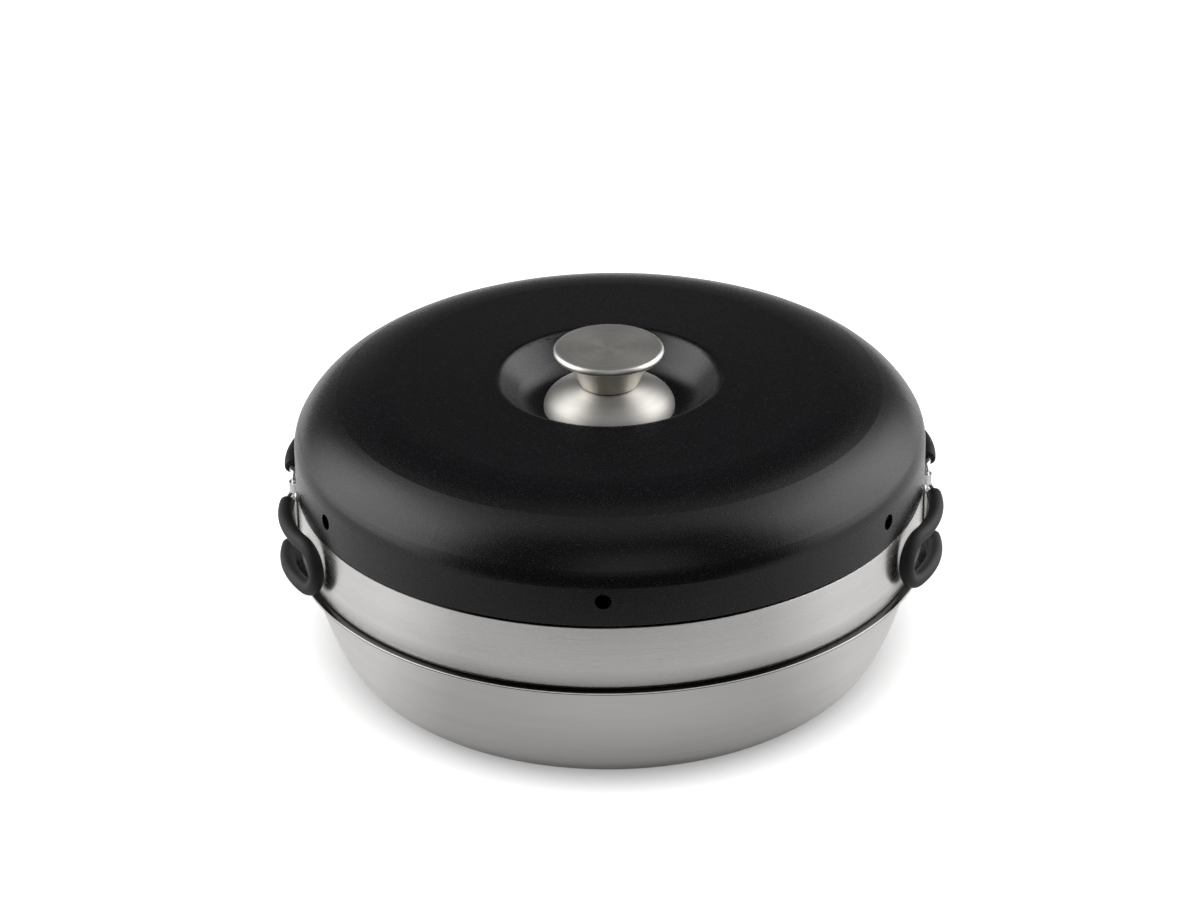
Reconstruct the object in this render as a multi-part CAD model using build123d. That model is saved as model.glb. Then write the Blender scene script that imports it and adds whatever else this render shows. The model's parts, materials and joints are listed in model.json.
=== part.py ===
"""Camp oven for a stove flame: a base bowl, a ring-shaped baking pan with fold-away handles, and a lid.

Millimetres. The origin is the centre of the base bowl's flat bottom, +Z is up and +X points at the
right-hand handle bracket. Every sheet-metal shell is a path along one of its faces, thickened and spun.
"""
from build123d import *
from math import radians, sqrt, tan
import os

# ---- base bowl -------------------------------------------------------------------------------
BOWL_HEIGHT = 60.0            # floor to the top of the flange, where the pan rests
BOWL_SHEET = 0.8
BOWL_MOUTH_STEP = 4.2         # how far the wall under the flange lies inside the pan's wall
BOWL_FLANGE_REACH = 2.9       # flange beyond the pan's wall
BOWL_KNEE_HEIGHT = 37.6       # where the upper wall would meet the lower one
BOWL_KNEE_INSET = 1.6
BOWL_FOOT_INSET = 19.4        # where the lower wall would meet the floor
BOWL_KNEE_BEND = 112.0
BOWL_FOOT_BEND = 30.0
FLANGE_BEND = 0.1             # inside radius of the turned-out flange
FLAME_HOLE_RADIUS = 32.0
FLAME_COLLAR_HEIGHT = 14.0
FLAME_COLLAR_BEND = 3.0

# ---- ring-shaped baking pan --------------------------------------------------------------------
PAN_WALL_HEIGHT = 31.2        # from the base flange to the top of the pan's rolled rim
PAN_SHEET = 0.7
PAN_RADIUS = 139.4            # outside of the upper wall; the bowl and the lid follow it
PAN_RIM_ROUND = 1.5           # the top edge is rolled inwards with this radius
PAN_RIM_HEM = 3.0             # from the rim's top down to its rolled-in edge
PAN_STEP_LEG = 0.8            # the corner between the wall and the step that rests on the base
PAN_STEP_BEND = 2.0
PAN_STEP_LOWER_BEND = 1.0
PAN_NECK_CLEARANCE = 1.3      # between the bowl's mouth and the pan's lower wall
PAN_NECK_BEND = 1.0
PAN_FLOOR_GAP = 22.0          # hot-air space under the pan's floor
PAN_FLOOR_INSET = 10.0        # how far the lower wall leans in by the floor
PAN_FLOOR_BEND = 12.0

# ---- chimney tube that closes the pan's centre -------------------------------------------------
CHIMNEY_SHEET = 0.7
CHIMNEY_FOOT_RADIUS = 38.0
CHIMNEY_TOP_RADIUS = 28.0
CHIMNEY_FLANGE_WIDTH = 5.0
CHIMNEY_FLANGE_BEND = 3.0
CHIMNEY_OVER_RIM = 7.0        # how far the chimney stands above the pan's rim
CHIMNEY_CURL_RADIUS = 1.3     # rolled top edge

# ---- lid ----------------------------------------------------------------------------------------
LID_SHEET = 1.0
LID_REACH = 0.6               # skirt beyond the pan's wall
LID_SKIRT_HEIGHT = 18.0
SHOULDER_RADII = (14.5, 38.3, 59.7)     # three arcs that flow into each other, from the skirt up
SHOULDER_TURNS = (29.3, 36.3)           # degrees; the third arc turns what is left
LID_CROWN_ANGLE = 1.4         # slope of the almost flat top, rising towards the knob's recess
LID_EDGE_BEND = 0.5           # the lower edge and the spigot's root are pressed sharp
LID_SPIGOT_DEPTH = 6.0        # ring inside the pan's rim that centres the lid
LID_SPIGOT_CLEARANCE = 1.4
VENT_DIAMETER = 7.0
VENT_COUNT = 6
VENT_HEIGHT = 11.75           # above the lid's lower edge
VENT_AZIMUTH = -91.5
RECESS_RADIUS = 48.85         # knob recess, where the top would meet the recess wall
RECESS_DEPTH = 15.4
RECESS_WALL_ANGLE = 52.0      # from horizontal
RECESS_RIM_BEND = 3.0
RECESS_FLOOR_BEND = 15.0

# ---- knob ---------------------------------------------------------------------------------------
KNOB_BASE_SHEET = 0.8
KNOB_BASE_RADIUS = 29.1
KNOB_BASE_SKIRT = 0.5
KNOB_BASE_RADII = (7.65, 20.7)          # two arcs from the skirt up to the flat under the stem
KNOB_BASE_TURN = 51.0
STEM_FOOT_RADIUS = 12.8
STEM_TOP_RADIUS = 19.4
STEM_HEIGHT = 14.6
STEM_EDGE = 0.8
CAP_RADIUS = 24.4
CAP_THICKNESS = 3.5
CAP_RIM_ROUND = 1.75
CAP_DISH_RADIUS = 20.5
CAP_DISH_DEPTH = 0.35
CAP_PEG_RADIUS = 8.0
CAP_PEG_LENGTH = 3.0
CAP_PEG_FIT = 0.03

# ---- screw that holds the knob ------------------------------------------------------------------
SCREW_DIAMETER = 5.0
SCREW_REACH = 8.0             # thread inside the stem
SCREW_HEAD_RADIUS = 4.6
SCREW_HEAD_HEIGHT = 3.0
SCREW_HEAD_ROUND = 1.8
SCREW_SLOT_WIDTH = 1.2
SCREW_SLOT_DEPTH = 1.4
THREAD_CLEARANCE = 0.05
HOLE_CLEARANCE = 0.25
WASHER_RADIUS = 8.0
WASHER_SHEET = 1.0
LOCK_WASHER_RADIUS = 4.5
LOCK_WASHER_SHEET = 1.2
LOCK_WASHER_GAP = 0.9
LOCK_WASHER_SLANT = 20.0      # degrees that its split leans

# ---- fold-away wire handles ---------------------------------------------------------------------
WIRE_DIAMETER = 3.0
WIRE_CORNER = 3.0             # bend at each end of the hinge pin
HANDLE_TOP_DROP = 4.7         # upper strand below the pan's rim
STRAND_SPACING = 21.3
STRAND_LEAD_ANGLE = 12.0      # outward slant of each strand where it leaves the pin
STRAND_OFFSET = 5.7           # from the pan's wall to a folded strand where it turns back
HANDLE_TURN_ANGLE = 22.4      # where the folded strand turns back, round the oven's axis
WIRE_END_GAP = 1.0            # between the two wire ends inside the knuckle
SLEEVE_DIAMETER = 6.7
SLEEVE_FIT = 0.03
SLEEVE_START = 5.0            # bare wire between the pin's corner and the sleeve
SLEEVE_END_ROUND = 1.0

# ---- handle brackets and rivets -----------------------------------------------------------------
BRACKET_SHEET = 1.0
BRACKET_HEIGHT = 15.0
HINGE_SPREAD = 9.0            # each pin's distance from the bracket's middle
PIN_CLEARANCE = 0.08
KNUCKLE_SEAM = 0.5            # gap where the rolled end meets the strap again
KNUCKLE_SEAM_TURN = 140.0     # degrees round the pin from straight out
RIVET_SPACING = 8.4
RIVET_DIAMETER = 3.0
RIVET_FIT = 0.02
RIVET_HEAD_RADIUS = 2.6
RIVET_HEAD_HEIGHT = 1.4
RIVET_TAIL_RADIUS = 2.3
RIVET_TAIL_HEIGHT = 1.0

CUT_MARGIN = 1.0              # how far a cutting tool reaches past the face that it cuts
BEND_SHARE = 0.98             # the most of a straight run, or of a thickness, that its bends may take up


def arc_chain(start, heading, radii, turns):
    """Arcs that flow into each other, turning left from a start point and a heading in degrees."""
    arcs = []
    point, direction = Vector(*start), Vector(1, 0).rotate(Axis.Z, heading)
    for radius, turn in zip(radii, turns):
        arcs.append(JernArc(point, direction, radius, turn))
        point, direction = arcs[-1] @ 1, arcs[-1] % 1
    return arcs


# ---- levels and fits worked out from the sizes above --------------------------------------------
BOWL_MOUTH_RADIUS = PAN_RADIUS - BOWL_MOUTH_STEP
BOWL_FLANGE_RADIUS = PAN_RADIUS + BOWL_FLANGE_REACH
PAN_MOUTH_RADIUS = PAN_RADIUS - 2 * PAN_RIM_ROUND
LID_RADIUS = PAN_RADIUS + LID_REACH
PAN_SEAT = BOWL_HEIGHT
LID_SEAT = PAN_SEAT + PAN_WALL_HEIGHT
MOUTH_INNER_RADIUS = BOWL_MOUTH_RADIUS - BOWL_SHEET
PAN_INNER_RADIUS = PAN_RADIUS - PAN_SHEET
CHIMNEY_TOP = LID_SEAT + CHIMNEY_OVER_RIM
SHOULDER = arc_chain(
    (LID_RADIUS, LID_SEAT + LID_SKIRT_HEIGHT), 90, SHOULDER_RADII,
    (*SHOULDER_TURNS, 90 - LID_CROWN_ANGLE - sum(SHOULDER_TURNS)),
)
SHOULDER_END = SHOULDER[-1] @ 1
LID_TOP = SHOULDER_END.Y + (SHOULDER_END.X - RECESS_RADIUS) * tan(radians(LID_CROWN_ANGLE))
RECESS_FLOOR = LID_TOP - RECESS_DEPTH
KNOB_DOME = arc_chain(
    (KNOB_BASE_RADIUS, RECESS_FLOOR + KNOB_BASE_SKIRT), 90, KNOB_BASE_RADII,
    (KNOB_BASE_TURN, 90 - KNOB_BASE_TURN),
)
KNOB_DOME_END = KNOB_DOME[-1] @ 1
STEM_FOOT = KNOB_DOME_END.Y
CAP_SEAT = STEM_FOOT + STEM_HEIGHT
SCREW_RADIUS = SCREW_DIAMETER / 2
SCREW_HOLE_RADIUS = SCREW_RADIUS + HOLE_CLEARANCE
WASHER_TOP = RECESS_FLOOR - LID_SHEET
LOCK_WASHER_TOP = WASHER_TOP - WASHER_SHEET
SCREW_SEAT = LOCK_WASHER_TOP - LOCK_WASHER_SHEET
WIRE_RADIUS = WIRE_DIAMETER / 2
UPPER_STRAND = LID_SEAT - HANDLE_TOP_DROP
HANDLE_MIDDLE = UPPER_STRAND - STRAND_SPACING / 2
PIN_BORE_RADIUS = WIRE_RADIUS + PIN_CLEARANCE
KNUCKLE_RADIUS = PIN_BORE_RADIUS + BRACKET_SHEET
PIN_X = sqrt((PAN_RADIUS + KNUCKLE_RADIUS) ** 2 - HINGE_SPREAD**2)


def bent_path(points, radii):
    """Straight runs through the points. Each corner has its radius, or what its two runs have room for."""
    corners = [Vector(*point) for point in points]
    runs = [after - before for before, after in zip(corners, corners[1:])]
    half_turns = [tan(radians(a.get_angle(b)) / 2) for a, b in zip(runs, runs[1:])]
    cuts = [radius * half_turn for radius, half_turn in zip(radii, half_turns)]
    for index, run in enumerate(runs):
        used = slice(max(index - 1, 0), index + 1)
        room = BEND_SHARE * run.length / sum(cuts[used])
        cuts[used] = [cut * min(1.0, room) for cut in cuts[used]]
    bends = [cut / half_turn for cut, half_turn in zip(cuts, half_turns)]
    return FilletPolyline(*corners, radius=bends)


def sheet_profile(path, sheet, side):
    """The section of a sheet whose one face follows the path, with its metal on the path's named side."""
    turn = 90 if side == Side.LEFT else -90
    in_metal = path @ 0.5 + (path % 0.5).rotate(Axis.Z, turn) * sheet / 2
    sections = [make_face(offset(path, amount=sheet, side=each)) for each in (Side.LEFT, Side.RIGHT)]
    return min(sections, key=lambda section: section.distance_to(in_metal))


def spun(profile):
    """A profile drawn as (radius, height), turned round the oven's axis."""
    return revolve(Plane.XZ * profile, Axis.Z)


def upright_rod(radius, bottom, top, x=0.0, y=0.0):
    return Pos(x, y, bottom) * extrude(Circle(radius), top - bottom)


def disc_ring(outer, inner, bottom, top):
    return upright_rod(outer, bottom, top) - upright_rod(inner, bottom, top)


# ---- base ---------------------------------------------------------------------------------------
def base_bowl():
    """Spun bowl with a turned-out flange and, in its floor, a collared hole for the flame."""
    under_flange = BOWL_HEIGHT - BOWL_SHEET
    outside = bent_path(
        [
            (BOWL_FLANGE_RADIUS, under_flange),
            (BOWL_MOUTH_RADIUS, under_flange),
            (BOWL_MOUTH_RADIUS - BOWL_KNEE_INSET, BOWL_KNEE_HEIGHT),
            (BOWL_MOUTH_RADIUS - BOWL_FOOT_INSET, 0),
            (FLAME_HOLE_RADIUS, 0),
            (FLAME_HOLE_RADIUS, FLAME_COLLAR_HEIGHT),
        ],
        [FLANGE_BEND, BOWL_KNEE_BEND, BOWL_FOOT_BEND, FLAME_COLLAR_BEND],
    )
    return spun(sheet_profile(outside, BOWL_SHEET, Side.RIGHT))


# ---- pan ----------------------------------------------------------------------------------------
def rivet_heights():
    return [HANDLE_MIDDLE - RIVET_SPACING / 2, HANDLE_MIDDLE + RIVET_SPACING / 2]


def rivet_holes(inner, outer):
    """The rivets' holes through a wall on the +X side, from its inner face to its outer one."""
    bore = extrude(Circle(RIVET_DIAMETER / 2 + RIVET_FIT), outer - inner + 2 * CUT_MARGIN)
    return [Pos(inner - CUT_MARGIN, 0, z) * Rot(0, 90, 0) * bore for z in rivet_heights()]


def baking_pan():
    """Rolled rim, outer wall, step on the base flange, lower wall inside the bowl, and a floor with a hole."""
    floor_radius = MOUTH_INNER_RADIUS - PAN_NECK_CLEARANCE - PAN_FLOOR_INSET
    outside = bent_path(
        [
            (PAN_MOUTH_RADIUS, LID_SEAT - PAN_RIM_HEM),
            (PAN_MOUTH_RADIUS, LID_SEAT),
            (PAN_RADIUS, LID_SEAT),
            (PAN_RADIUS, PAN_SEAT + PAN_STEP_LEG),
            (PAN_RADIUS - PAN_STEP_LEG, PAN_SEAT),
            (MOUTH_INNER_RADIUS - PAN_NECK_CLEARANCE, PAN_SEAT),
            (floor_radius, PAN_FLOOR_GAP),
            (CHIMNEY_FOOT_RADIUS, PAN_FLOOR_GAP),
        ],
        [PAN_RIM_ROUND, PAN_RIM_ROUND, PAN_STEP_BEND, PAN_STEP_LOWER_BEND, PAN_NECK_BEND, PAN_FLOOR_BEND],
    )
    pan = spun(sheet_profile(outside, PAN_SHEET, Side.RIGHT))
    for turn in (0, 180):
        for hole in rivet_holes(PAN_INNER_RADIUS, PAN_RADIUS):
            pan -= Rot(0, 0, turn) * hole
    return pan


def chimney_tube():
    """Cone that stands on the pan's floor by a flange, with its top edge rolled outwards."""
    foot = PAN_FLOOR_GAP + PAN_SHEET
    curl_centre = CHIMNEY_TOP - CHIMNEY_CURL_RADIUS
    inside = bent_path(
        [
            (CHIMNEY_FOOT_RADIUS + CHIMNEY_FLANGE_WIDTH, foot),
            (CHIMNEY_FOOT_RADIUS, foot),
            (CHIMNEY_TOP_RADIUS, curl_centre),
        ],
        [CHIMNEY_FLANGE_BEND + CHIMNEY_SHEET],
    )
    curl = Pos(CHIMNEY_TOP_RADIUS + CHIMNEY_CURL_RADIUS, curl_centre) * (
        Circle(CHIMNEY_CURL_RADIUS) - Circle(CHIMNEY_CURL_RADIUS - CHIMNEY_SHEET)
    )
    return spun(sheet_profile(inside, CHIMNEY_SHEET, Side.RIGHT) + curl)


def right_bracket():
    """Strap riveted to the pan's wall, its two ends rolled into knuckles for the handles' pins."""
    strap_radius = PAN_RADIUS + BRACKET_SHEET
    strap = Circle(strap_radius) - Circle(PAN_RADIUS)
    strap &= Polygon((0, 0), (2 * PIN_X, -2 * HINGE_SPREAD), (2 * PIN_X, 2 * HINGE_SPREAD), align=None)
    bores = Sketch()
    for side in (-1, 1):
        pin = Pos(PIN_X, side * HINGE_SPREAD)
        out_of_pin = pin * Rot(0, 0, -side * KNUCKLE_SEAM_TURN) * Pos(KNUCKLE_RADIUS, 0)
        seam = out_of_pin * Rectangle(2 * KNUCKLE_RADIUS, KNUCKLE_SEAM)
        strap += pin * Circle(KNUCKLE_RADIUS)
        strap -= seam - Circle(strap_radius)
        bores += pin * Circle(PIN_BORE_RADIUS)
    strap -= bores
    bracket = Pos(0, 0, HANDLE_MIDDLE - BRACKET_HEIGHT / 2) * extrude(strap, BRACKET_HEIGHT)
    for hole in rivet_holes(PAN_RADIUS, strap_radius):
        bracket -= hole
    return bracket


def rivet_button(radius, height):
    """Half of a lens shape, flat side on the XY plane."""
    ball = (radius**2 + height**2) / (2 * height)
    dome = Pos(0, 0, height - ball) * Sphere(ball)
    return dome & upright_rod(2 * radius, 0, height)


def right_rivets():
    """Dome-head rivets through the strap and the wall, closed by a flatter button inside the pan."""
    head_x = PAN_RADIUS + BRACKET_SHEET
    tail_x = sqrt(PAN_INNER_RADIUS**2 - RIVET_TAIL_RADIUS**2)
    rivets = []
    for z in rivet_heights():
        shank = Pos(tail_x, 0, z) * Rot(0, 90, 0) * extrude(Circle(RIVET_DIAMETER / 2), head_x - tail_x)
        head = Pos(head_x, 0, z) * Rot(0, 90, 0) * rivet_button(RIVET_HEAD_RADIUS, RIVET_HEAD_HEIGHT)
        tail = Pos(tail_x, 0, z) * Rot(0, -90, 0) * rivet_button(RIVET_TAIL_RADIUS, RIVET_TAIL_HEIGHT)
        rivets.append((shank + head + tail).solid())
    return Compound(rivets)


# ---- lid ----------------------------------------------------------------------------------------
def lid_shell():
    """Deep-drawn lid: spigot, skirt, swept shoulder, almost flat top and the recess for the knob."""
    spigot_radius = PAN_MOUTH_RADIUS - LID_SPIGOT_CLEARANCE
    recess_floor_radius = RECESS_RADIUS - RECESS_DEPTH / tan(radians(RECESS_WALL_ANGLE))
    edge = bent_path(
        [
            (spigot_radius, LID_SEAT - LID_SPIGOT_DEPTH),
            (spigot_radius, LID_SEAT),
            (LID_RADIUS, LID_SEAT),
            SHOULDER[0] @ 0,
        ],
        [LID_EDGE_BEND, LID_EDGE_BEND],
    )
    top = bent_path(
        [
            SHOULDER_END,
            (RECESS_RADIUS, LID_TOP),
            (recess_floor_radius, RECESS_FLOOR),
            (SCREW_HOLE_RADIUS, RECESS_FLOOR),
        ],
        [RECESS_RIM_BEND + LID_SHEET, RECESS_FLOOR_BEND],
    )
    outside = Wire([*edge.edges(), *SHOULDER, *top.edges()])
    lid = spun(sheet_profile(outside, LID_SHEET, Side.LEFT))
    vent_reach = LID_RADIUS + CUT_MARGIN
    vent = Pos(0, 0, LID_SEAT + VENT_HEIGHT) * Rot(0, 90, 0) * extrude(Circle(VENT_DIAMETER / 2), vent_reach)
    for index in range(VENT_COUNT):
        lid -= Rot(0, 0, VENT_AZIMUTH + index * 360 / VENT_COUNT) * vent
    return lid


def knob_base():
    """Bell-shaped cover that stands in the recess and carries the stem."""
    skirt = Line((KNOB_BASE_RADIUS, RECESS_FLOOR), KNOB_DOME[0] @ 0)
    seat = Line(KNOB_DOME_END, (SCREW_HOLE_RADIUS, STEM_FOOT))
    outside = Wire([skirt, *KNOB_DOME, seat])
    return spun(sheet_profile(outside, KNOB_BASE_SHEET, Side.LEFT))


def knob_stem():
    """Flared stem, tapped from below for the screw and bored from above for the cap's peg."""
    bore_top = STEM_FOOT + SCREW_REACH + CUT_MARGIN
    peg_bottom = CAP_SEAT - CAP_PEG_LENGTH
    stem = spun(make_face(Polyline(
        (0, STEM_FOOT), (STEM_FOOT_RADIUS - STEM_EDGE, STEM_FOOT), (STEM_FOOT_RADIUS, STEM_FOOT + STEM_EDGE),
        (STEM_TOP_RADIUS, CAP_SEAT), (0, CAP_SEAT), (0, STEM_FOOT),
    )))
    stem -= upright_rod(SCREW_RADIUS + THREAD_CLEARANCE, STEM_FOOT - CUT_MARGIN, bore_top)
    return stem - upright_rod(CAP_PEG_RADIUS + CAP_PEG_FIT, peg_bottom, CAP_SEAT + CUT_MARGIN)


def knob_cap():
    """Finger disc with a rounded rim, a shallow dish on top and a peg pressed into the stem."""
    top = CAP_SEAT + CAP_THICKNESS
    cap = upright_rod(CAP_RADIUS, CAP_SEAT, top)
    cap = fillet(cap.edges().filter_by(GeomType.CIRCLE), BEND_SHARE * min(CAP_RIM_ROUND, CAP_THICKNESS / 2))
    dish_ball = (CAP_DISH_RADIUS**2 + CAP_DISH_DEPTH**2) / (2 * CAP_DISH_DEPTH)
    cap -= Pos(0, 0, top - CAP_DISH_DEPTH + dish_ball) * Sphere(dish_ball)
    return cap + upright_rod(CAP_PEG_RADIUS, CAP_SEAT - CAP_PEG_LENGTH, CAP_SEAT)


def knob_screw():
    """Round-head screw with a cross slot, from below the lid up into the stem."""
    head_bottom = SCREW_SEAT - SCREW_HEAD_HEIGHT
    head = upright_rod(SCREW_HEAD_RADIUS, head_bottom, SCREW_SEAT)
    head = fillet(head.edges().group_by(Axis.Z)[0], min(SCREW_HEAD_ROUND, BEND_SHARE * SCREW_HEAD_HEIGHT))
    slot = Pos(0, 0, head_bottom + SCREW_SLOT_DEPTH / 2)
    head -= slot * Box(3 * SCREW_HEAD_RADIUS, SCREW_SLOT_WIDTH, SCREW_SLOT_DEPTH)
    head -= slot * Box(SCREW_SLOT_WIDTH, 3 * SCREW_HEAD_RADIUS, SCREW_SLOT_DEPTH)
    return head + upright_rod(SCREW_RADIUS, SCREW_SEAT, STEM_FOOT + SCREW_REACH)


def knob_washer():
    return disc_ring(WASHER_RADIUS, SCREW_HOLE_RADIUS, LOCK_WASHER_TOP, WASHER_TOP)


def knob_lock_washer():
    """Split spring washer."""
    ring = disc_ring(LOCK_WASHER_RADIUS, SCREW_RADIUS + THREAD_CLEARANCE, SCREW_SEAT, LOCK_WASHER_TOP)
    split = Pos(LOCK_WASHER_RADIUS, 0, SCREW_SEAT + LOCK_WASHER_SHEET / 2) * Rot(LOCK_WASHER_SLANT, 0, 0)
    return ring - split * Box(LOCK_WASHER_RADIUS, LOCK_WASHER_GAP, 4 * LOCK_WASHER_SHEET)


# ---- handles ------------------------------------------------------------------------------------
def upper_half():
    """Edges of the folded loop's upper half: the pin, its corner, the strand and half of the turn."""
    lead = Vector(0, 1).rotate(Axis.Z, -STRAND_LEAD_ANGLE)
    pin_top = Vector(PIN_X, HINGE_SPREAD, UPPER_STRAND)
    pin = Line((PIN_X, HINGE_SPREAD, HANDLE_MIDDLE + WIRE_END_GAP / 2), pin_top - Vector(0, 0, WIRE_CORNER))
    corner = TangentArc(pin @ 1, pin_top + lead * WIRE_CORNER, tangent=(0, 0, 1))
    strand_end = Vector(PAN_RADIUS + STRAND_OFFSET, 0, UPPER_STRAND).rotate(Axis.Z, HANDLE_TURN_ANGLE)
    strand = TangentArc(corner @ 1, strand_end, tangent=lead)
    along = strand % 1
    tip = strand_end + (along + Vector(0, 0, -1)) * (STRAND_SPACING / 2)
    return [pin, corner, strand, TangentArc(strand_end, tip, tangent=along)]


def mirrored_sweep(edges, section):
    """The section swept along the upper half of the loop, and its mirror image below."""
    path = Wire(edges)
    half = sweep(Plane(origin=path @ 0, z_dir=path % 0) * section, path=path)
    return half + mirror(half, about=Plane.XY.offset(HANDLE_MIDDLE))


def right_back_wire():
    return mirrored_sweep(upper_half(), Circle(WIRE_RADIUS))


def right_back_sleeve():
    """Sleeve over the strands and the turn."""
    _, _, strand, turn = upper_half()
    covered = strand.trim(SLEEVE_START / strand.length, 1)
    section = Circle(SLEEVE_DIAMETER / 2) - Circle(WIRE_RADIUS + SLEEVE_FIT)
    sleeve = mirrored_sweep([covered, turn], section)
    end_rims = [end.outer_wire().edge() for end in sleeve.faces().filter_by(GeomType.PLANE)]
    end_wall = SLEEVE_DIAMETER / 2 - WIRE_RADIUS - SLEEVE_FIT
    return fillet(end_rims, min(SLEEVE_END_ROUND, BEND_SHARE * end_wall))


# ---- the whole oven -----------------------------------------------------------------------------
def all_parts():
    parts = {
        "base_bowl": base_bowl(),
        "baking_pan": baking_pan(),
        "chimney_tube": chimney_tube(),
        "lid_shell": lid_shell(),
        "knob_base": knob_base(),
        "knob_stem": knob_stem(),
        "knob_cap": knob_cap(),
        "knob_screw": knob_screw(),
        "knob_washer": knob_washer(),
        "knob_lock_washer": knob_lock_washer(),
    }
    right_side = {"bracket": right_bracket(), "rivets": right_rivets()}
    for name, piece in right_side.items():
        parts[f"right_{name}"] = piece
        parts[f"left_{name}"] = mirror(piece, about=Plane.YZ)
    for name, piece in {"handle_wire": right_back_wire(), "handle_sleeve": right_back_sleeve()}.items():
        front = mirror(piece, about=Plane.XZ)
        parts[f"right_back_{name}"] = piece
        parts[f"right_front_{name}"] = front
        parts[f"left_back_{name}"] = mirror(piece, about=Plane.YZ)
        parts[f"left_front_{name}"] = mirror(front, about=Plane.YZ)
    return parts


os.makedirs("parts", exist_ok=True)
for part_name, part in all_parts().items():
    export_step(part, f"parts/{part_name}.step")
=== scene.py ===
"""Looks of the camp oven: a satin black lid, brushed and spun steel, bright wire and charcoal sleeves.

The CAD solids keep their shapes. Each gets its finish here, and a floor, a studio and the camera are added.
"""

import json
from math import cos, radians, sin

import bpy
from mathutils import Matrix, Vector


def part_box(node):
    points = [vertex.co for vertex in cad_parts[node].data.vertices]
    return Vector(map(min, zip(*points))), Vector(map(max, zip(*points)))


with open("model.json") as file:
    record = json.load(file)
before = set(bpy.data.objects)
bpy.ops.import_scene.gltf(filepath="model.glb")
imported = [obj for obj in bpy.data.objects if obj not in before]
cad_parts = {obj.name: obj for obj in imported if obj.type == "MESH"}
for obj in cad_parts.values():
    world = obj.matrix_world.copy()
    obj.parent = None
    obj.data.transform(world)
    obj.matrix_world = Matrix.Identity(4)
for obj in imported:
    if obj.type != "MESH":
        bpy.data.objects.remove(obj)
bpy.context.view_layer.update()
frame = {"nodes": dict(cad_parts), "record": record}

# ---- places, from the frame (metres) -------------------------------------------------------------
LID_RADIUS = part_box("lid_shell")[1].x
LID_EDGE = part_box("baking_pan")[1].z        # level at which the lid sits on the pan
FLANGE_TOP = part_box("base_bowl")[1].z
FLANGE_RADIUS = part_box("base_bowl")[1].x
STEM_FOOT, STEM_TOP = [corner.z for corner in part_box("knob_stem")]

# ---- where painted shade and highlights on the steel start and end: levels or radii (metres) -----
BOWL_FOOT = (0.0, 0.014)                                        # painted shade, upwards from the floor
FLANGE_LEVELS = (FLANGE_TOP - 0.0010, FLANGE_TOP - 0.0009)      # the bowl's wall ends and its flange starts
FLANGE_UNDERSIDE = (FLANGE_TOP - 0.0005, FLANGE_TOP - 0.0004)   # painted shade below, painted highlight on the edge above
FLANGE_EDGE = (FLANGE_RADIUS - 0.0003, FLANGE_RADIUS - 0.0001)
FLANGE_FACE = (0.4, 0.8)                                        # share of the normal that points up, where the painted dark reflection lies
PAN_WALL = (LID_RADIUS - 0.010, LID_RADIUS - 0.006)             # the pan's floor and chimney are inside
PAN_SEAM = (FLANGE_TOP + 0.0030, FLANGE_TOP + 0.0090)           # painted shade where the pan's wall rises from the flange
# painted shade in the gap under the lid's edge
LID_GAP = (LID_EDGE - 0.0016, LID_EDGE - 0.0012)
# painted shade in the joints at the stem's foot and under the cap
STEM_FOOT_JOINT = (STEM_FOOT + 0.0006, STEM_FOOT + 0.0011)
STEM_TOP_JOINT = (STEM_TOP - 0.0008, STEM_TOP - 0.0005)

# ---- share of a steel's colour that is left where shade is painted -------------------------------
# painted shade at the bowl's foot
BOWL_FOOT_SHARE = 0.55
# painted shade at the pan's seam
PAN_SEAM_SHARE = 0.70
GAP_SHARE = 0.02              # painted shade in the gap under the lid and in the joint at the stem's foot
# painted shade under the cap
CAP_JOINT_SHARE = 0.2

NOISE_MIDDLE = (0.3, 0.7)     # most of a noise texture's values lie in between
QUARTER_TURN = 0.25           # turns a brushed highlight across the lines

# ---- camera: distances in lid radii above the lid's edge, angles in degrees ----------------------
CAMERA_DISTANCE = 13.5847
CAMERA_ELEVATION = 27.6631
CAMERA_YAW = -0.1507
CAMERA_PITCH = 27.3822
CAMERA_ROLL = 0.7916
CAMERA_LENS = 127.87          # mm ...
CAMERA_SENSOR = 36            # ... on a sensor this wide
CAMERA_CLIP_START = 0.05      # metres

# ---- floor (metres): what it gives off is added to a grey floor ----------------------------------
FLOOR_SIDE = 1.6
FLOOR_FRONT = 0.33            # nearer the camera the world's own white is the ground
FLOOR_WHITE = 0.55
FLOOR_GLOW_SEEN = 0.9         # added for the camera, so that only the oven's shadow stays below white
FLOOR_GLOW_MIRRORED = 0.1     # added in the metal's reflections ...
FLOOR_GLOW_BESIDE = 0.4       # ... and what it grows to beside the oven: painted light in the reflections
BESIDE = (-0.75, -0.40)       # cosines of the angle from straight behind, between which it grows
FOOT_SHADE = (0.11, 0.15)     # painted shadow: radii between which the glow grows from nothing to its full strength ...
FOOT_SHADE_BACK = 0.02        # ... round a point this far behind the oven's middle

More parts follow.
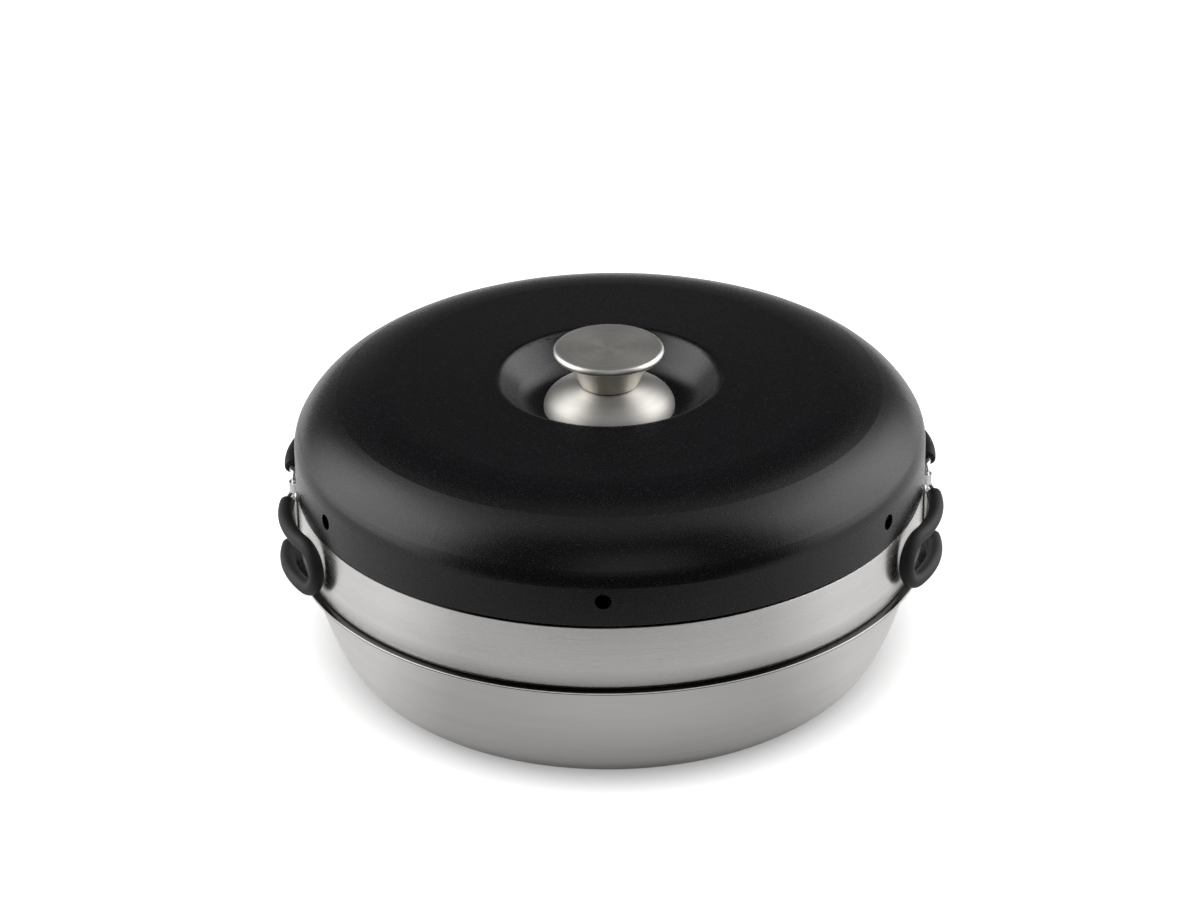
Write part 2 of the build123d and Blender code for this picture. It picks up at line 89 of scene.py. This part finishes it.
# ---- studio: azimuths are degrees from straight behind the oven towards its right side -----------
SOFTBOX_LIGHT = 3.3
SOFTBOX_AZIMUTHS = (-82.0, 74.0)
SOFTBOX_HALF_WIDTH = 29.0
SOFTBOX_TOP = 61.0            # degrees above the floor
SOFTBOX_EDGE = 14.0           # degrees over which a softbox fades sideways ...
SOFTBOX_FADE = 20.0           # ... and at its top
SOFTBOX_LOW = 0.65            # its share of light at the floor ...
SOFTBOX_FULL = 24.0           # ... and the level at which it reaches all of it
ROOM_LIGHT = 0.06
CEILING_LIGHT = 0.5
CEILING_START = 62.0
HORIZON_LIGHT = 0.22          # pale wall behind the oven, low down
HORIZON_TOP = 26.0
HORIZON_SIDES = (0.7, 1.0)    # cosines of the angle from straight behind, between which it grows
FRONT_LIGHT = 0.5             # narrow panel over the camera
FRONT_AZIMUTH = 172.0
FRONT_HALF_WIDTHS = (9.0, 29.0)          # degrees: where it starts to fade sideways and ends
FRONT_LEVELS = (12.0, 26.0, 44.0, 60.0)  # degrees: it starts, is full, starts to fade and ends


def set_camera():
    """A long lens a little above the oven, turned and rolled by the fraction of a degree it was held at."""
    yaw, pitch, roll = radians(CAMERA_YAW), radians(CAMERA_PITCH), radians(CAMERA_ROLL)
    forward = Vector((sin(yaw) * cos(pitch), cos(yaw) * cos(pitch), -sin(pitch)))
    right = Vector((cos(yaw), -sin(yaw), 0))
    down = forward.cross(right)
    right, down = cos(roll) * right + sin(roll) * down, cos(roll) * down - sin(roll) * right
    distance = CAMERA_DISTANCE * LID_RADIUS
    elevation = radians(CAMERA_ELEVATION)
    place = Vector((0, -distance * cos(elevation), LID_EDGE + distance * sin(elevation)))
    data = bpy.data.cameras.new("camera")
    data.lens = CAMERA_LENS
    data.sensor_width = CAMERA_SENSOR
    data.clip_start = CAMERA_CLIP_START
    camera = bpy.data.objects.new("camera", data)
    bpy.context.scene.collection.objects.link(camera)
    camera.matrix_world = Matrix.Translation(place) @ Matrix((right, -down, -forward)).transposed().to_4x4()
    bpy.context.scene.camera = camera


# ---- shader graphs -------------------------------------------------------------------------------
class Graph:
    """A node tree, with short ways to add a node, feed its sockets and take its output."""

    def __init__(self, owner):
        owner.use_nodes = True
        self.owner = owner
        self.tree = owner.node_tree
        self.shader = self.tree.nodes.get("Principled BSDF")

    def feed(self, node, sockets):
        for name, value in sockets.items():
            if isinstance(value, bpy.types.NodeSocket):
                self.tree.links.new(value, node.inputs[name])
            else:
                node.inputs[name].default_value = value

    def source(self, name):
        """What feeds one of the shader's sockets."""
        return self.shader.inputs[name].links[0].from_socket

    def add(self, kind, settings=None, sockets=None):
        node = self.tree.nodes.new("ShaderNode" + kind)
        for name, value in (settings or {}).items():
            setattr(node, name, value)
        self.feed(node, sockets or {})
        return node

    def place(self):
        """The point on the surface, in the piece's own rest frame."""
        return self.add("TexCoord").outputs["Object"]

    def math(self, operation, *values):
        return self.add("Math", {"operation": operation}, dict(enumerate(values))).outputs[0]

    def vector(self, operation, *vectors):
        """The node's vector output, or its value output for the operations that give a number."""
        node = self.add("VectorMath", {"operation": operation}, dict(enumerate(vectors)))
        return node.outputs["Value" if operation in ("LENGTH", "DOT_PRODUCT") else "Vector"]

    def scale(self, vector, factor):
        return self.add("VectorMath", {"operation": "SCALE"}, {0: vector, "Scale": factor}).outputs["Vector"]

    def flatten(self, vector):
        """A vector without its height."""
        return self.vector("MULTIPLY", vector, (1, 1, 0))

    def height(self, vector):
        return self.add("SeparateXYZ", None, {0: vector}).outputs["Z"]

    def noise(self, vector, scale, detail, roughness, w=None):
        sockets = {"Vector": vector, "Scale": scale, "Detail": detail, "Roughness": roughness}
        if w is None:
            return self.add("TexNoise", None, sockets).outputs["Fac"]
        return self.add("TexNoise", {"noise_dimensions": "4D"}, {**sockets, "W": w}).outputs["Fac"]

    def ramp(self, value, low, high, out_low=0.0, out_high=1.0):
        sockets = {"Value": value, "From Min": low, "From Max": high, "To Min": out_low, "To Max": out_high}
        return self.add("MapRange", None, sockets).outputs[0]

    def blend(self, factor, first, second):
        """A number between two others."""
        return self.add("Mix", None, {"Factor": factor, "A": first, "B": second}).outputs["Result"]

    def mix(self, factor, first, second):
        """A colour between two others."""
        node = self.add("Mix", {"data_type": "RGBA"}, {"Factor": factor})
        self.feed(node, {6: first, 7: second})
        return node.outputs[2]

    def bump(self, height, distance, strength=1.0):
        sockets = {"Height": height, "Distance": distance, "Strength": strength}
        return self.add("Bump", None, sockets).outputs[0]


def rgb(red, green, blue):
    """A colour from its display values, 0 to 255."""
    shares = [value / 255 for value in (red, green, blue)]
    linear = [share / 12.92 if share <= 0.04 else ((share + 0.055) / 1.055) ** 2.4 for share in shares]
    return (*linear, 1.0)


# ---- steel turned or brushed round the oven's axis -----------------------------------------------
def turned_lines(graph, along, across, detail=3.0):
    """Noise drawn out into lines round the axis: along is how often a line breaks, across its fineness."""
    place = graph.place()
    flat = graph.flatten(place)
    turn = graph.scale(graph.vector("NORMALIZE", flat), along)
    outward = graph.math("MULTIPLY", graph.vector("LENGTH", flat), across)
    step = graph.add("CombineXYZ", None, {"Z": outward}).outputs[0]
    layer = graph.math("MULTIPLY", graph.height(place), across)
    return graph.noise(graph.vector("ADD", turn, step), scale=1.0, detail=detail, roughness=0.6, w=layer)


def turned_steel(name, colour, roughness, anisotropic, along=4.0, across=3500.0, groove=0.000003,
                 uneven=0.03, burnish=0.05):
    """Stainless steel with fine lines. Its tint wanders by uneven, and its roughness by burnish."""
    graph = Graph(bpy.data.materials.new(name))
    fine = turned_lines(graph, along, across)
    broad = turned_lines(graph, 0.4 * along, 0.05 * across, detail=2.0)
    tint = graph.ramp(broad, *NOISE_MIDDLE, 1 - uneven, 1 + uneven)
    graph.feed(graph.shader, {
        "Base Color": graph.scale(colour, tint),
        "Metallic": 1.0,
        "Roughness": graph.ramp(fine, 0.25, 0.75, roughness - burnish, roughness + burnish),
        "Anisotropic": anisotropic,
        "Anisotropic Rotation": QUARTER_TURN,
        "Tangent": graph.add("Tangent", {"direction_type": "RADIAL", "axis": "Z"}).outputs[0],
        "Normal": graph.bump(fine, groove),
    })
    return graph.owner


def lathed_steel(name, colour, roughness, anisotropic, **lines):
    """The knob's steel, whose lines are finer than the sheet's."""
    return turned_steel(name, colour, roughness, anisotropic, along=2.0, across=6000.0, **lines)


def height_and_radius(graph):
    """Height and radius of the point on the surface, in the piece's own rest frame."""
    place = graph.place()
    return graph.height(place), graph.vector("LENGTH", graph.flatten(place))


def darken(graph, share):
    """Lets only a share of the shader's colour through, for painted shade."""
    graph.feed(graph.shader, {"Base Color": graph.scale(graph.source("Base Color"), share)})


def bowl_steel():
    """Spun steel with painted shade at its foot. The flange's top has a painted dark reflection, its edge a
    painted highlight and its underside painted shade.
    """
    graph = Graph(turned_steel("spun_bowl_steel", (0.70, 0.685, 0.67), roughness=0.36, anisotropic=0.6))
    # painted highlight on the flange's edge, painted shade under it
    painted_lip_highlight, shaded = (1.0, 0.99, 0.97, 1), (0.03, 0.03, 0.03, 1)
    # painted dark reflection on the flange's top face, and that face's roughness
    painted_face_reflection, face_roughness = (0.05, 0.048, 0.046, 1), 0.25
    height, radius = height_and_radius(graph)
    upward = graph.height(graph.add("TexCoord").outputs["Normal"])
    # painted shade at the bowl's foot, where the steel mirrors the floor's shadow
    darken(graph, graph.ramp(height, *BOWL_FOOT, BOWL_FOOT_SHARE, 1.0))
    on_flange = graph.ramp(height, *FLANGE_LEVELS)
    on_edge = graph.math("MULTIPLY", on_flange, graph.ramp(radius, *FLANGE_EDGE))
    on_face = graph.math("MULTIPLY", on_flange, graph.ramp(upward, *FLANGE_FACE))
    edge = graph.mix(graph.ramp(height, *FLANGE_UNDERSIDE, 1.0, 0.0), painted_lip_highlight, shaded)
    graph.feed(graph.shader, {
        "Base Color": graph.mix(on_edge, graph.mix(on_face, graph.source("Base Color"), painted_face_reflection), edge),
        "Roughness": graph.blend(on_face, graph.source("Roughness"), face_roughness),
    })
    return graph.owner


def pan_steel():
    """Brushed steel. Painted shade darkens the upright wall a little towards the flange, and fully in the gap
    under the lid.
    """
    graph = Graph(turned_steel("brushed_pan_steel", (0.72, 0.705, 0.69), roughness=0.26, anisotropic=0.7,
                               groove=0.0000006, burnish=0.03))
    height, radius = height_and_radius(graph)
    # painted shade towards the flange and in the gap under the lid's edge
    seam = graph.ramp(height, *PAN_SEAM, PAN_SEAM_SHARE, 1.0)
    gap = graph.ramp(height, *LID_GAP, 1.0, GAP_SHARE)
    darken(graph, graph.blend(graph.ramp(radius, *PAN_WALL), 1.0, graph.math("MULTIPLY", seam, gap)))
    return graph.owner


def stem_steel():
    """The knob stem's steel, with painted shade in the joints at its foot and under the cap."""
    graph = Graph(lathed_steel("lathed_knob_stem", (0.58, 0.55, 0.50), roughness=0.34, anisotropic=0.92,
                               burnish=0.1))
    height = graph.height(graph.place())
    # painted shade in the joints
    foot = graph.ramp(height, *STEM_FOOT_JOINT, GAP_SHARE, 1.0)
    top = graph.ramp(height, *STEM_TOP_JOINT, 1.0, CAP_JOINT_SHARE)
    darken(graph, graph.math("MULTIPLY", foot, top))
    return graph.owner


# ---- the other finishes --------------------------------------------------------------------------
def bright_steel(name, colour, roughness):
    """Drawn or stamped stainless: bright, with faint pits and scuffs."""
    graph = Graph(bpy.data.materials.new(name))
    scuff = graph.noise(graph.place(), scale=900.0, detail=4.0, roughness=0.65)
    scuffed = [0.8 * channel for channel in colour]
    graph.feed(graph.shader, {
        "Base Color": graph.mix(graph.ramp(scuff, 0.4, 0.75), (*colour, 1), (*scuffed, 1)),
        "Metallic": 1.0,
        "Roughness": graph.ramp(scuff, *NOISE_MIDDLE, roughness - 0.05, roughness + 0.08),
        "Normal": graph.bump(scuff, distance=0.00001, strength=0.4),
    })
    return graph.owner


def lid_coating():
    """Satin black coating with a fine pebbled skin and scarce paler specks."""
    graph = Graph(bpy.data.materials.new("satin_black_coating"))
    place = graph.place()
    pebble = graph.noise(place, scale=1400.0, detail=2.0, roughness=0.55)
    speck = graph.ramp(graph.noise(place, scale=2600.0, detail=1.0, roughness=0.5), 0.66, 0.74)
    cloud = graph.ramp(graph.noise(place, scale=14.0, detail=3.0, roughness=0.5), *NOISE_MIDDLE)
    black = graph.mix(cloud, rgb(7, 6, 9), rgb(10, 9, 12))
    graph.feed(graph.shader, {
        "Base Color": graph.mix(speck, black, rgb(70, 69, 72)),
        "Roughness": graph.ramp(pebble, *NOISE_MIDDLE, 0.22, 0.31),
        "IOR": 1.42,
        "Normal": graph.bump(pebble, distance=0.00006, strength=0.7),
    })
    return graph.owner


def silicone():
    """Matte charcoal silicone, a little paler in random smears."""
    graph = Graph(bpy.data.materials.new("charcoal_silicone"))
    place = graph.place()
    grain = graph.noise(place, scale=2200.0, detail=2.0, roughness=0.6)
    smear = graph.ramp(graph.noise(place, scale=120.0, detail=3.0, roughness=0.6), 0.35, 0.7)
    graph.feed(graph.shader, {
        "Base Color": graph.mix(smear, rgb(26, 26, 27), rgb(36, 36, 36)),
        "Roughness": graph.ramp(grain, *NOISE_MIDDLE, 0.5, 0.66),
        "Specular IOR Level": 0.4,
        "Normal": graph.bump(grain, distance=0.00002, strength=0.5),
    })
    return graph.owner


def dress_nodes():
    """Each node gets the finish of its slot in the record, and each turned piece of the knob its own cut."""
    by_slot = {
        "bowl_steel": bowl_steel(),
        "pan_steel": pan_steel(),
        "bracket_steel": bright_steel("bright_strip_steel", (0.72, 0.715, 0.71), roughness=0.2),
        "wire_steel": bright_steel("bright_wire_steel", (0.75, 0.745, 0.74), roughness=0.16),
        "fastener_steel": bright_steel("plain_fastener_steel", (0.6, 0.59, 0.57), roughness=0.32),
        "lid_coating": lid_coating(),
        "sleeve_silicone": silicone(),
    }
    by_node = {
        "knob_base": lathed_steel("lathed_knob_base", (0.80, 0.78, 0.74), roughness=0.6, anisotropic=0.72,
                                  burnish=0.15),
        "knob_stem": stem_steel(),
        "knob_cap": lathed_steel("lathed_knob_cap", (0.74, 0.725, 0.69), roughness=0.42, anisotropic=0.4,
                                 uneven=0.07),
    }
    for entry in frame["record"]["subparts"]:
        node, slot = entry["node"], entry["material_slot"]
        piece = frame["nodes"][node]
        piece.data.materials.clear()
        piece.data.materials.append(by_node[node] if node in by_node else by_slot[slot])


# ---- floor and studio ----------------------------------------------------------------------------
def floor_glow(graph):
    """What the floor gives off: most to the camera, less to what mirrors it but more beside the oven as
    painted light, and nothing under the oven as painted shadow.
    """
    path = graph.add("LightPath").outputs
    mirrored = graph.math("MAXIMUM", path["Is Glossy Ray"], path["Is Transmission Ray"])
    place = graph.place()
    # painted shadow round the oven's foot
    radius = graph.vector("LENGTH", graph.vector("SUBTRACT", place, (0, FOOT_SHADE_BACK, 0)))
    backward = graph.add("SeparateXYZ", None, {0: graph.vector("NORMALIZE", place)}).outputs["Y"]
    # painted light beside the oven, seen only in the metal's reflections
    beside = graph.ramp(backward, *BESIDE, FLOOR_GLOW_MIRRORED, FLOOR_GLOW_BESIDE)
    share = graph.math("MULTIPLY_ADD", path["Is Camera Ray"], FLOOR_GLOW_SEEN,
                       graph.math("MULTIPLY", mirrored, beside))
    return graph.math("MULTIPLY", share, graph.ramp(radius, *FOOT_SHADE))


def white_floor():
    """Pale floor that the camera and the metal see as white, darkened only by the oven's shadow, partly real
    and partly painted.
    """
    mesh = bpy.data.meshes.new("floor")
    left, right, front, back = -FLOOR_SIDE, FLOOR_SIDE, -FLOOR_FRONT, FLOOR_SIDE
    corners = [(left, front, 0), (right, front, 0), (right, back, 0), (left, back, 0)]
    mesh.from_pydata(corners, [], [(0, 1, 2, 3)])
    floor = bpy.data.objects.new("floor", mesh)
    bpy.context.scene.collection.objects.link(floor)
    graph = Graph(bpy.data.materials.new("white_floor"))
    grey = (FLOOR_WHITE, FLOOR_WHITE, FLOOR_WHITE, 1)
    graph.feed(graph.shader, {"Base Color": grey, "Roughness": 1.0, "Specular IOR Level": 0.0})
    glow = graph.add("Emission", None, {"Color": (1, 1, 1, 1), "Strength": floor_glow(graph)}).outputs[0]
    total = graph.add("AddShader", None, {0: graph.shader.outputs[0], 1: glow}).outputs[0]
    graph.feed(graph.tree.nodes["Material Output"], {"Surface": total})
    mesh.materials.append(graph.owner)


def level(degrees):
    """The height, on a sphere of radius 1, of a direction this far above the floor."""
    return sin(radians(degrees))


def towards(graph, heading, azimuth):
    """Cosine of the angle between a heading and an azimuth."""
    aim = (sin(radians(azimuth)), cos(radians(azimuth)), 0)
    return graph.vector("DOT_PRODUCT", heading, aim)


def softboxes(graph, height, heading):
    """Two tall panels beside the oven, which fade at their sides and tops, and a little towards the floor."""
    outer, inner = [cos(radians(SOFTBOX_HALF_WIDTH + fade)) for fade in (SOFTBOX_EDGE, -SOFTBOX_EDGE)]
    widths = [graph.ramp(towards(graph, heading, azimuth), outer, inner) for azimuth in SOFTBOX_AZIMUTHS]
    fades, ends = level(SOFTBOX_TOP - SOFTBOX_FADE), level(SOFTBOX_TOP + SOFTBOX_FADE)
    tall = graph.ramp(height, fades, ends, 1.0, 0.0)
    low = graph.ramp(height, 0.0, level(SOFTBOX_FULL), SOFTBOX_LOW * SOFTBOX_LIGHT, SOFTBOX_LIGHT)
    return graph.math("MULTIPLY", graph.math("MULTIPLY", graph.math("ADD", *widths), tall), low)


def horizon(graph, height, heading):
    """A pale wall behind the oven, which fades upwards."""
    behind = graph.ramp(towards(graph, heading, 0.0), *HORIZON_SIDES, 0.0, HORIZON_LIGHT)
    return graph.math("MULTIPLY", behind, graph.ramp(height, 0.0, level(HORIZON_TOP), 1.0, 0.0))


def front_panel(graph, height, heading):
    """A narrow panel over the camera, which fades on all sides."""
    starts, full, fades, ends = [level(degrees) for degrees in FRONT_LEVELS]
    inner, outer = [cos(radians(width)) for width in FRONT_HALF_WIDTHS]
    before = graph.ramp(towards(graph, heading, FRONT_AZIMUTH), outer, inner, 0.0, FRONT_LIGHT)
    rising = graph.ramp(height, starts, full)
    falling = graph.ramp(height, fades, ends, 1.0, 0.0)
    return graph.math("MULTIPLY", before, graph.math("MULTIPLY", rising, falling))


def studio_world():
    """White to the camera. Round the oven: a dim room, a pale ceiling, two softboxes, a wall and a panel."""
    world = bpy.data.worlds.new("studio")
    bpy.context.scene.world = world
    graph = Graph(world)
    direction = graph.add("TexCoord").outputs["Generated"]
    height = graph.height(direction)
    heading = graph.vector("NORMALIZE", graph.flatten(direction))
    ceiling = graph.ramp(height, level(CEILING_START), 1.0, ROOM_LIGHT, CEILING_LIGHT)
    sides_and_top = graph.math("ADD", softboxes(graph, height, heading), ceiling)
    ends = graph.math("ADD", horizon(graph, height, heading), front_panel(graph, height, heading))
    camera_ray = graph.add("LightPath").outputs["Is Camera Ray"]
    strength = graph.blend(camera_ray, graph.math("ADD", sides_and_top, ends), 1.0)
    graph.feed(graph.tree.nodes["Background"], {"Color": (1, 1, 1, 1), "Strength": strength})


set_camera()
dress_nodes()
white_floor()
studio_world()

scene = bpy.context.scene
scene.view_settings.view_transform = "Standard"
